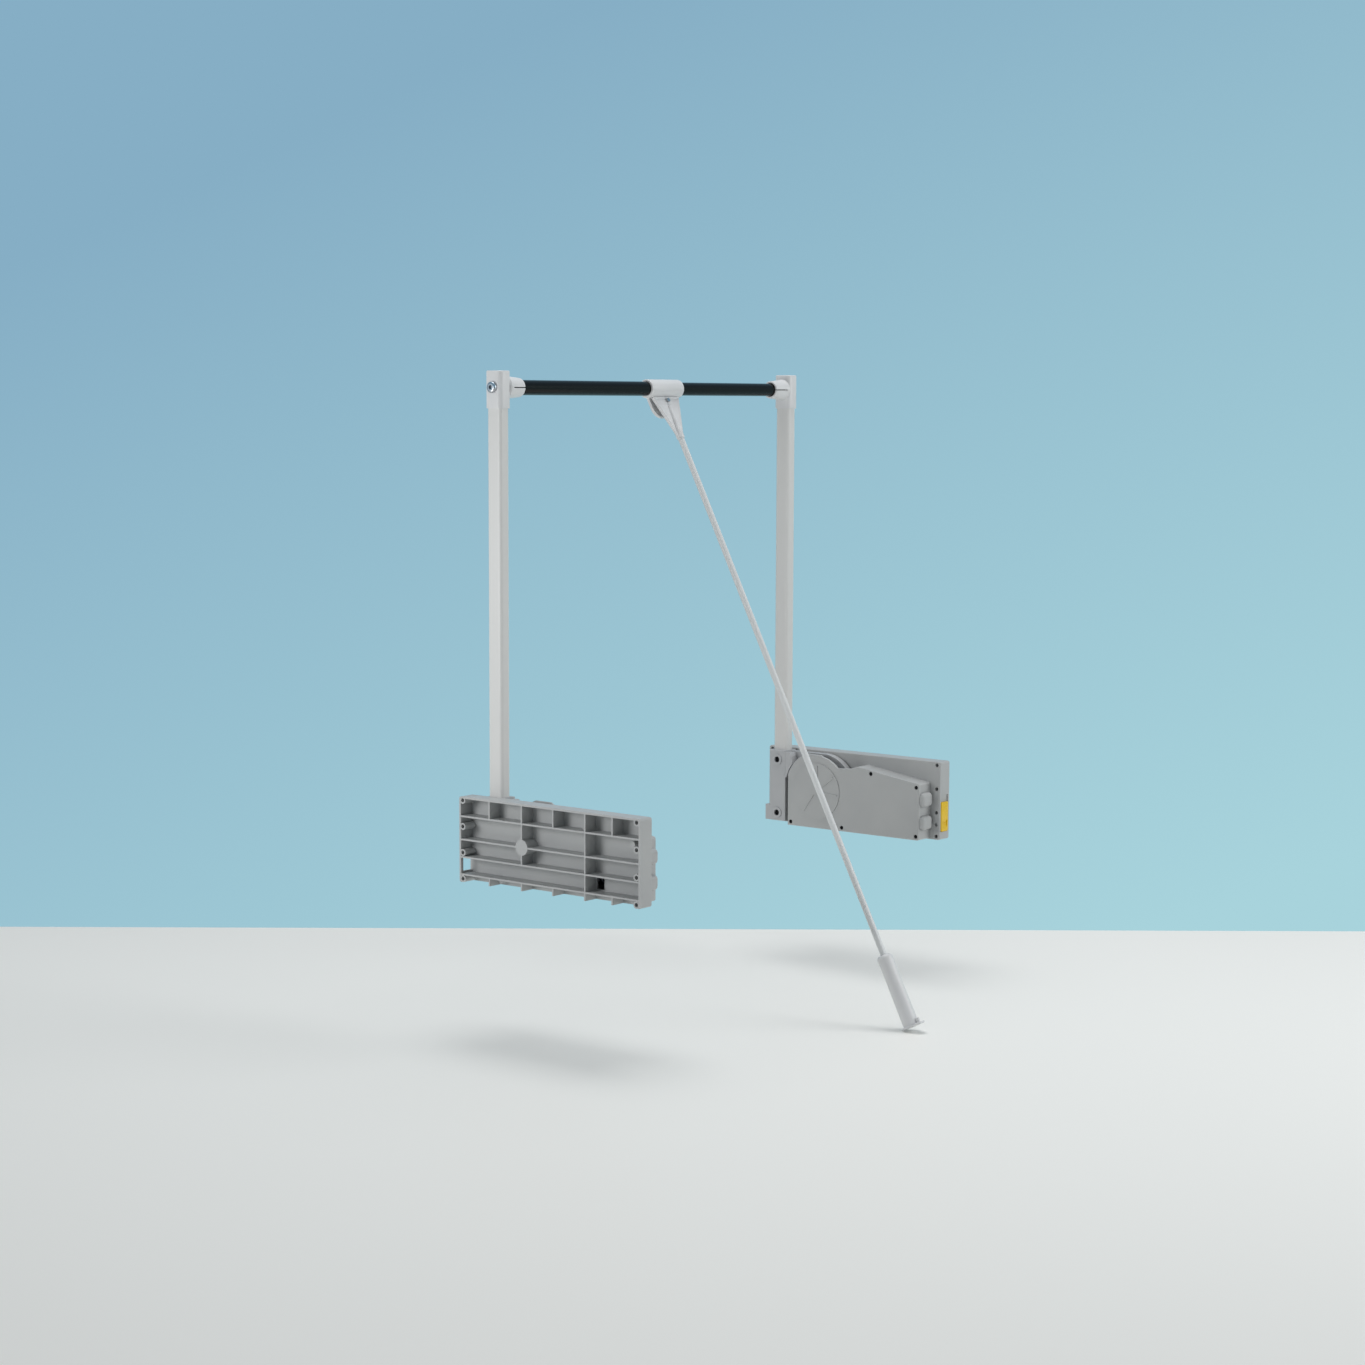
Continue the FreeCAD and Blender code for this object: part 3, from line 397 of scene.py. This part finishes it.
def settle(piece, body, slot_name, stands_for, place=None, turn=0):
    """Put a finished piece in its place, smooth it, and hand it to its body."""
    pick(piece)
    if place is not None:
        piece.matrix_world = (Matrix.Translation(place) @ Matrix.Rotation(turn, 4, "X")
                              @ piece.matrix_world)
    into_mesh(location=True, rotation=True, scale=True)
    bpy.ops.object.shade_smooth_by_angle(angle=math.radians(35))
    piece.data.materials.clear()
    piece.data.materials.append(FINISHES[slot_name])
    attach(piece, body)
    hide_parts(*stands_for)
    print(piece.name, "faces:", len(piece.data.polygons))


# %% [markdown]
# ## The handle
# The handle is a moulded sleeve on the end of the rod. It swells a little towards the bottom, has a
# soft shoulder at the top, and ends in a flange that is drawn out to one side as a hook. A lathe form
# suits the sleeve: one disc is pushed up step by step, and each step has its own width. The flange
# is a thin disc whose front faces are drawn out, and a small web holds the hook to the sleeve.
# The rod leans forward, so everything on it is made upright first and tilted at the end.

# %% Handle sleeve
RAIL_Y, RAIL_Z = 0.10775, 0.545
RAIL = Vector((0.3475, RAIL_Y, RAIL_Z))
LEAN_FORWARD = -math.radians(27)
ROD_BORE, GRIP_BORE_MIDDLE = 0.00402, (0, 0, -0.803)
SLEEVE_OUTLINE = [
    (-0.87, 0.0094), (-0.866, 0.0099), (-0.862, 0.0100), (-0.84, 0.00985), (-0.81, 0.0096),
    (-0.79, 0.0098), (-0.783, 0.00995), (-0.7815, 0.0097), (-0.7795, 0.0088), (-0.7782, 0.0072),
    (-0.778, 0.0055)]
grip = lathe("handle_sleeve", SLEEVE_OUTLINE)
cut(grip, rod_tool(ROD_BORE, depth=0.07, place=GRIP_BORE_MIDDLE))
settle(grip, "rod_assembly", "connector_grey", ["handle_grip"], RAIL, LEAN_FORWARD)

# %% Handle flange
FLANGE_RADIUS, FLANGE_THICK = 0.0115, 0.0025
FLANGE_MIDDLE = (0, 0, -0.87125)
HOOK_REACH, HOOK_NARROWS = 0.007, 0.92
WEB_SIZE, WEB_MIDDLE = (0.0022, 0.0042, 0.006), (0, -0.0119, -0.8672)
FRONTWARDS, LEVEL = -0.7, 0.1
rod_tool(FLANGE_RADIUS, FLANGE_THICK, FLANGE_MIDDLE, sides=64)
flange = start("handle_hook_flange")
choose(flange, lambda middle, way: way.y < FRONTWARDS and abs(way.z) < LEVEL)
bpy.ops.mesh.extrude_region_move(TRANSFORM_OT_translate={"value": (0, -HOOK_REACH, 0)})
bpy.ops.transform.resize(value=(HOOK_NARROWS, 1, 1), center_override=FLANGE_MIDDLE)
bpy.ops.object.mode_set(mode="OBJECT")
rounded(flange, width=0.0006, steps=2, angle=50)
cut(flange, block_tool(WEB_SIZE, WEB_MIDDLE), "UNION")
settle(flange, "rod_assembly", "connector_grey", ["handle_flange"], RAIL, LEAN_FORWARD)

# %% [markdown]
# ## The rod's head
# Under the rail the rod ends in a flat triangle that a pin joins to the collar. Its edges are rims,
# and a round rib runs down its middle into a socket that grips the rod. The triangle starts as a
# block whose lower end is narrowed; its faces are then inset and pushed in, which leaves the rims.

# %% Rod head
HEAD_SIZE, HEAD_MIDDLE = (0.051, 0.005, 0.0556), (0, 0, -0.0402)
LOW_END_SHARE = 0.1725
SOCKET_MIDDLE = (0, 0, -0.06)
PIN_PLACE, PIN_BORE = (0, 0, -0.0175), 0.00172
RIB_OUTLINE = [
    (-0.071, 0.0047), (-0.0704, 0.0051), (-0.067, 0.0053), (-0.058, 0.0049), (-0.045, 0.0043),
    (-0.0285, 0.0034), (-0.0246, 0.0028), (-0.0236, 0.0018)]
head = start_block("rod_triangle", HEAD_SIZE, HEAD_MIDDLE)
choose(head, lambda middle, way: way.z < -ALONG)
bpy.ops.transform.resize(value=(LOW_END_SHARE, 1, 1), center_override=(0, 0, 0))
choose(head, lambda middle, way: abs(way.y) > ALONG)
bpy.ops.mesh.inset(thickness=0.0018, depth=-0.0011, use_individual=True)
bpy.ops.object.mode_set(mode="OBJECT")
rounded(head, width=0.0005, steps=2, angle=40)
cut(head, lathe("rod_rib", RIB_OUTLINE, sides=40), "UNION")
cut(head, rod_tool(ROD_BORE, depth=0.024, place=SOCKET_MIDDLE, sides=40))
cut(head, rod_tool(PIN_BORE, depth=0.04, place=PIN_PLACE, turn=ALONG_Y, sides=32))
settle(head, "rod_assembly", "connector_grey", ["rod_head"], RAIL, LEAN_FORWARD)

# %% [markdown]
# ## The collar
# The collar is a moulded tube that turns on the rail. Its ends are rounded, and behind it an ear
# reaches down to the pin. A lathe form lies down along the rail, the ear is joined on, and the bore
# is cut last, so that it goes clean through both.

# %% Collar on the rail
RAIL_BORE = 0.00925
COLLAR_OUTLINE = [
    (-0.0325, 0.0108), (-0.0322, 0.0114), (-0.0314, 0.0119), (-0.030, 0.0120),
    (0.030, 0.0120), (0.0314, 0.0119), (0.0322, 0.0114), (0.0325, 0.0108)]
EAR_SIZE, EAR_MIDDLE = (0.046, 0.0042, 0.033), (0, 0.0094, -0.0205)
EAR_LOWER_HALF = -0.02
BOSS_RADIUS, BOSS_MIDDLE = 0.004, (0, 0.0054, -0.0175)
EAR_BORE = 0.0017
collar = lathe("rail_collar_sleeve", COLLAR_OUTLINE, sides=72)
collar.rotation_euler = ALONG_X
into_mesh(rotation=True)
ear = start_block("collar_ear", EAR_SIZE, EAR_MIDDLE)
choose(ear, lambda middle, way: middle.z < EAR_LOWER_HALF and abs(way.y) > ALONG, "edges")
bpy.ops.mesh.bevel(offset=0.014, segments=10)
bpy.ops.object.mode_set(mode="OBJECT")
rounded(ear, width=0.0007, steps=2, angle=50)
cut(collar, ear, "UNION")
cut(collar, rod_tool(BOSS_RADIUS, depth=0.0058, place=BOSS_MIDDLE, turn=ALONG_Y, sides=40), "UNION")
cut(collar, rod_tool(RAIL_BORE, depth=0.08, place=(0, 0, 0), turn=ALONG_X, sides=72))
cut(collar, rod_tool(EAR_BORE, depth=0.03, place=PIN_PLACE, turn=ALONG_Y, sides=32))
settle(collar, "rod_assembly", "connector_grey", ["rail_collar"], RAIL, LEAN_FORWARD)

# %% [markdown]
# ## The corner pieces
# A moulded cap sits on each arm, and a cone on its side takes the end of the rail. A slit in the cone
# lets it close on the rail when the bolt is pulled tight. The cap starts as a block with rounded
# corners, the cone is a lathe form that lies down and swells softly into the cap, and the hollows
# for the arm, the rail and the bolt are cut last. The right cap is the mirror twin of the left one.

# %% Corner pieces
ARM_X, WARDROBE_MIDDLE = 0.0355, 0.327
CAP_SIZE, CAP_MIDDLE = (0.020, 0.026, 0.045), (ARM_X, RAIL_Y, 0.5425)
CAP_TOP = 0.5649
MOUTH_START = (0.0435, RAIL_Y, RAIL_Z)
MOUTH_OUTLINE = [
    (0, 0.0128), (0.002, 0.0142), (0.0035, 0.01385), (0.006, 0.0136), (0.015, 0.0128),
    (0.0265, 0.0118), (0.0282, 0.0115), (0.0288, 0.0110), (0.029, 0.0104)]
HOLLOW_SIZE, HOLLOW_MIDDLE = (0.0161, 0.0221, 0.0342), (ARM_X, RAIL_Y, 0.5361)
SLIT_SIZE, SLIT_MIDDLE = (0.027, 0.030, 0.0012), (0.0630, 0.09275, RAIL_Z)
RAIL_END, BOLT_MIDDLE = (0.0605, RAIL_Y, RAIL_Z), (0.036, RAIL_Y, RAIL_Z)
BOLT_BORE = 0.00405


def twin(piece, name):
    """The mirror twin of a piece on the other side of the wardrobe."""
    pick(piece)
    bpy.ops.object.duplicate()
    other = bpy.context.object
    other.name = name
    other.data.name = name
    bpy.ops.object.mode_set(mode="EDIT")
    bpy.ops.mesh.select_all(action="SELECT")
    bpy.ops.transform.resize(value=(-1, 1, 1), center_override=(WARDROBE_MIDDLE, 0, 0))
    face_outwards()
    bpy.ops.object.mode_set(mode="OBJECT")
    return other


cap = start_block("corner_cap_left", CAP_SIZE, CAP_MIDDLE)
choose(cap, lambda middle, way: abs(way.z) > ALONG, "edges")
bpy.ops.mesh.bevel(offset=0.006, segments=8)
choose(cap, lambda middle, way: middle.z > CAP_TOP, "edges")
bpy.ops.mesh.bevel(offset=0.0015, segments=3)
bpy.ops.object.mode_set(mode="OBJECT")
mouth = lathe("rail_mouth", MOUTH_OUTLINE, sides=72)
mouth.rotation_euler = ALONG_X
mouth.location = MOUTH_START
into_mesh(location=True, rotation=True)
cut(cap, mouth, "UNION")
cut(cap, block_tool(HOLLOW_SIZE, HOLLOW_MIDDLE))
cut(cap, rod_tool(RAIL_BORE, depth=0.03, place=RAIL_END, turn=ALONG_X, sides=64))
cut(cap, rod_tool(BOLT_BORE, depth=0.08, place=BOLT_MIDDLE, turn=ALONG_X, sides=40))
cut(cap, block_tool(SLIT_SIZE, SLIT_MIDDLE))
cap_right = twin(cap, "corner_cap_right")
settle(cap, "left_arm_frame", "connector_grey", ["corner_connector_left"])
settle(cap_right, "right_arm_frame", "connector_grey", ["corner_connector_right"])

# %% [markdown]
# ## The selector
# A yellow tab in the front end of the right housing sets how hard the springs push. A thumb moves it,
# so its face has a dish with a ridge across. Behind the face a stem and a foot hold it in its slot.

# %% Selector
TAB_X, DISH_HEIGHT, STEM_HEIGHT = 0.6425, -0.0305, -0.0342
TAB_SIZE, TAB_MIDDLE = (0.0166, 0.0025, 0.040), (TAB_X, -0.14145, -0.0215)
TAB_FRONT = -0.14269
DISH_RADIUS, DISH_MIDDLE = 0.012, (TAB_X, -0.1535, DISH_HEIGHT)
RIDGE_SIZE, RIDGE_MIDDLE = (0.0096, 0.0016, 0.0022), (TAB_X, -0.1416, DISH_HEIGHT)
STEM_SIZE, STEM_MIDDLE = (0.006, 0.0037, 0.004), (TAB_X, -0.13985, STEM_HEIGHT)
FOOT_SIZE, FOOT_MIDDLE = (0.009, 0.0012, 0.004), (TAB_X, -0.1382, STEM_HEIGHT)
tab = start_block("selector_tab", TAB_SIZE, TAB_MIDDLE)
choose(tab, lambda middle, way: abs(way.y) > ALONG, "edges")
bpy.ops.mesh.bevel(offset=0.0022, segments=5)
choose(tab, lambda middle, way: middle.y < TAB_FRONT, "edges")
bpy.ops.mesh.bevel(offset=0.0007, segments=3)
bpy.ops.object.mode_set(mode="OBJECT")
cut(tab, rod_tool(DISH_RADIUS, depth=0.011, place=DISH_MIDDLE, turn=ALONG_X, sides=64))
ridge = block_tool(RIDGE_SIZE, RIDGE_MIDDLE)
rounded(ridge, width=0.0006, steps=3, angle=50)
cut(tab, ridge, "UNION")
cut(tab, block_tool(STEM_SIZE, STEM_MIDDLE), "UNION")
cut(tab, block_tool(FOOT_SIZE, FOOT_MIDDLE), "UNION")
settle(tab, "selector", "selector_yellow", ["force_selector"])

# %% [markdown]
# ## The springs
# Two coil springs lie in each housing behind the cover. They can't be seen from outside, and the
# frame's solids for them are only sleeves, which can't shorten when the yoke pushes. A small circle
# swept by the screw modifier gives the wire, and each coil is wound to the length of its sleeve.

# %% Winding a coil
WIRE, WIRE_SIDES = 0.0013, 12
COIL, TURNS, STEPS_IN_TURN = 0.0085, 16, 24


def wind_coil(length, place):
    """A closed coil of round wire that starts at the place and runs to the back."""
    bpy.ops.object.select_all(action="DESELECT")
    bpy.ops.mesh.primitive_circle_add(vertices=WIRE_SIDES, radius=WIRE, rotation=ALONG_Y)
    coil = bpy.context.object
    into_mesh(rotation=True)
    bpy.ops.object.mode_set(mode="EDIT")
    bpy.ops.mesh.select_all(action="SELECT")
    bpy.ops.transform.translate(value=(COIL, 0, 0))
    bpy.ops.object.mode_set(mode="OBJECT")
    wind = coil.modifiers.new("wind", "SCREW")
    wind.screw_offset = (length - 2 * WIRE) / TURNS
    wind.iterations = TURNS
    wind.steps = wind.render_steps = STEPS_IN_TURN
    apply_all(coil)
    bpy.ops.object.mode_set(mode="EDIT")
    bpy.ops.mesh.select_all(action="SELECT")
    bpy.ops.mesh.fill_holes(sides=0)
    face_outwards()
    bpy.ops.object.mode_set(mode="OBJECT")
    coil.rotation_euler = (-math.pi / 2, 0, 0)
    coil.location = place
    into_mesh(location=True, rotation=True)
    return coil


print("a coil is this wide in metres:", round(2 * (COIL + WIRE), 4))

# %% Coil springs
PUSH, GAP = 0.035, 0.0002
edge = COIL + WIRE + GAP
for side in ("left", "right"):
    low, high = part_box("springs_" + side)
    length = high[1] - low[1]
    middle = (low[0] + high[0]) / 2
    pick(*[wind_coil(length, (middle, low[1] + WIRE, height)) for height in (low[2] + edge, high[2] - edge)])
    bpy.ops.object.join()
    pair = bpy.context.object
    pair.name = pair.data.name = "coil_springs_" + side
    settle(pair, side + "_unit", "spring_steel", ["springs_" + side])
    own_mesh(pair)

# %% [markdown]
# ## Background and light
# The lift stands in a pale blue room with a white floor. The blue is what the camera sees behind the
# floor, and what smooth metal mirrors; the light itself is plain white, so the greys stay neutral.

# %% Floor
FLOOR_WIDE, FLOOR_DEEP = 24, 9.0
FLOOR_ENDS_AT, FLOOR_GAP = 3.844, 0.0002
low, high = cad_box
bpy.ops.object.select_all(action="DESELECT")
bpy.ops.mesh.primitive_plane_add(size=1)
floor = bpy.context.object
floor.name = "pale_floor"
forward = Vector((math.sin(TURN), math.cos(TURN), 0))
far_edge = camera.location.to_2d().to_3d() + forward * FLOOR_ENDS_AT
floor.scale = (FLOOR_WIDE, FLOOR_DEEP, 1)
floor.rotation_euler = (0, 0, -TURN)
floor.location = (*(far_edge - forward * FLOOR_DEEP / 2).xy, low[2] - FLOOR_GAP)
floor_paint = bpy.data.materials.new("floor_white")
floor_paint.use_nodes = True
floor_shader = floor_paint.node_tree.nodes["Principled BSDF"]
floor_shader.inputs["Base Color"].default_value = plain(249, 250, 247)
floor_shader.inputs["Roughness"].default_value = 0.55
floor.data.materials.append(floor_paint)
print("floor at", round(low[2], 4))

# %% [markdown]
# ## The room
# The blue grows paler towards the lower right. A ramp between two blues follows the direction of
# sight, and a switch gives the blue to rays from the camera or a mirror, and white to all others.

# %% Room light
ROOM_STRENGTH = 0.27
DARK_BLUE, PALE_BLUE = plain(134, 174, 197), plain(168, 211, 220)
PALER_TOWARDS = level + Vector((0, 0, -2.2))
DARK_FROM, PALE_FROM = -0.35, 0.6
world = bpy.data.worlds.new("pale_room")
bpy.context.scene.world = world
world.use_nodes = True
room = world.node_tree
room.nodes.clear()
join = room.links.new
rays = room.nodes.new("ShaderNodeLightPath")
sight = room.nodes.new("ShaderNodeTexCoord")
slant = room.nodes.new("ShaderNodeVectorMath")
slant.operation = "DOT_PRODUCT"
slant.inputs[1].default_value = PALER_TOWARDS
join(sight.outputs["Generated"], slant.inputs[0])
spread = room.nodes.new("ShaderNodeMapRange")
spread.inputs["From Min"].default_value = DARK_FROM
spread.inputs["From Max"].default_value = PALE_FROM
join(slant.outputs["Value"], spread.inputs["Value"])
wall = room.nodes.new("ShaderNodeValToRGB")
wall.color_ramp.elements[0].color = DARK_BLUE
wall.color_ramp.elements[1].color = PALE_BLUE
join(spread.outputs["Result"], wall.inputs["Fac"])
seen = room.nodes.new("ShaderNodeBackground")
join(wall.outputs["Color"], seen.inputs["Color"])
light = room.nodes.new("ShaderNodeBackground")
light.inputs["Color"].default_value = (1, 1, 1, 1)
light.inputs["Strength"].default_value = ROOM_STRENGTH
direct = rays.outputs["Is Camera Ray"]
for kind in ("Is Glossy Ray", "Is Transmission Ray"):
    either = room.nodes.new("ShaderNodeMath")
    either.operation = "MAXIMUM"
    join(direct, either.inputs[0])
    join(rays.outputs[kind], either.inputs[1])
    direct = either.outputs["Value"]
mix = room.nodes.new("ShaderNodeMixShader")
out = room.nodes.new("ShaderNodeOutputWorld")
join(direct, mix.inputs["Fac"])
join(light.outputs["Background"], mix.inputs[1])
join(seen.outputs["Background"], mix.inputs[2])
join(mix.outputs["Shader"], out.inputs["Surface"])
print("room strength:", ROOM_STRENGTH)

# %% [markdown]
# ## The lamps
# Three wide lamps give soft light: one from the left, a large one from the front and one from above.
# The left one stands low and near the floor, where it would burn a white patch into it. A collection
# that holds the floor, marked as left out, tells this lamp to light all but the floor.


# %% Studio lamps
def lamp(name, place, aim, size, power):
    """A round lamp that looks from its place at its aim."""
    bpy.ops.object.light_add(type="AREA", location=place)
    item = bpy.context.object
    item.name = name
    item.data.shape = "DISK"
    item.data.size = size
    item.data.energy = power
    item.rotation_euler = (Vector(aim) - Vector(place)).to_track_quat("-Z", "Y").to_euler()
    return item


lamps = [
    lamp("key_from_left", place=(-0.85, 0.42, 0.3), aim=(0.05, 0, 0.34), size=0.5, power=5.1),
    lamp("fill_from_front", place=(1.6, -2.6, 1.2), aim=(0.4, 0, 0.1), size=1.8, power=35),
    lamp("top_soft", place=(0.45, 0.3, 2.9), aim=(0.35, 0, 0), size=2.2, power=48),
]
unlit = bpy.data.collections.new("not_lit_by_key")
unlit.objects.link(floor)
lamps[0].light_linking.receiver_collection = unlit
unlit.collection_objects[0].light_linking.link_state = "EXCLUDE"
print("lamps:", len(lamps))

# %% [markdown]
# ## Bringing the scene up to date
# The box of the frame is kept from the start. What is modelled here may look finer than the frame's
# solids, but not larger; the last step brings the scene up to date.

# %% Bring the scene up to date
bpy.context.view_layer.update()
